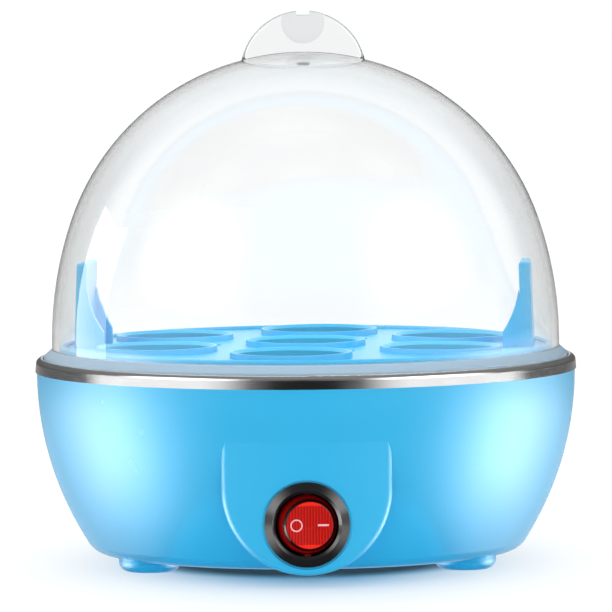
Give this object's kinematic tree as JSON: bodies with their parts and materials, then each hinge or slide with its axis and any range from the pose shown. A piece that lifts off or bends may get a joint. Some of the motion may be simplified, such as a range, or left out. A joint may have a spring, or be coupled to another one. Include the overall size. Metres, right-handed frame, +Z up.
{
  "type": "egg cooker",
  "caption": "Round steam cooker for eggs: bowl base with steel rim, water pan and heater, lift-out tray with ears, clear domed lid with grip, and a lit rocker switch.",
  "frame": {"origin": "on the floor under the centre of the bowl", "axes": "+Z up along the bowl's axis, -Y to the front with the switch, +X to the right seen from the front"},
  "size_m": [0.15, 0.1504, 0.1527],
  "materials": {
    "blue_plastic": "glossy moulded",
    "clear_plastic": "clear glossy moulded",
    "rim_steel": "brushed round the rim",
    "pan_steel": "satin drawn sheet",
    "silicone": "matt",
    "zinc_steel": "zinc plated",
    "gland_rubber": "matt black",
    "aluminium": "as cast",
    "sheath_steel": "annealed tube",
    "ceramic": "unglazed",
    "phenolic": "moulded",
    "tinned_brass": "stamped",
    "black_plastic": "glossy moulded",
    "red_lens": "translucent moulded",
    "lamp_glass": "clear",
    "nylon": "moulded",
    "wire_sleeve": "silicone insulation"
  },
  "bodies": {
    "base": {"housing": "blue_plastic", "rim_ring": "rim_steel", "water_pan": "pan_steel", "pan_seal": "silicone", "bottom_cover": "blue_plastic", "cover_screws": "zinc_steel", "cord_gland": "gland_rubber", "heat_spreader": "aluminium", "heater_tube": "sheath_steel", "heater_bushes": "ceramic", "heater_pins": "zinc_steel", "pan_studs": "zinc_steel", "stud_nuts": "zinc_steel", "thermostat_cup": "aluminium", "thermostat_base": "phenolic", "thermostat_tabs": "tinned_brass", "thermal_fuse": "ceramic", "fuse_leads": "tinned_brass", "fuse_clip": "zinc_steel", "spreader_screws": "zinc_steel", "switch_body": "black_plastic", "switch_terminals": "tinned_brass", "switch_lamp": "lamp_glass", "blade_sockets": "nylon", "pin_sockets": "nylon", "crimp_sleeves": "tinned_brass", "lead_switch": "wire_sleeve", "lead_heater": "wire_sleeve", "lead_fuse": "wire_sleeve"},
    "tray": {"egg_tray": "blue_plastic"},
    "lid": {"lid": "clear_plastic"},
    "rocker": {"switch_rocker": "red_lens"}
  },
  "joints": [
    {"name": "tray_lift", "type": "slide", "parent": "base", "child": "tray", "axis": [0, 0, 1], "range_m": [0, 0.1]},
    {"name": "lid_lift", "type": "slide", "parent": "tray", "child": "lid", "axis": [0, 0, 1], "range_m": [0, 0.12]},
    {"name": "switch_rock", "type": "hinge", "parent": "base", "child": "rocker", "pos_m": [0, -0.0695, 0.0169], "axis": [0, 0, -1], "range_deg": [0, 16]}
  ]
}
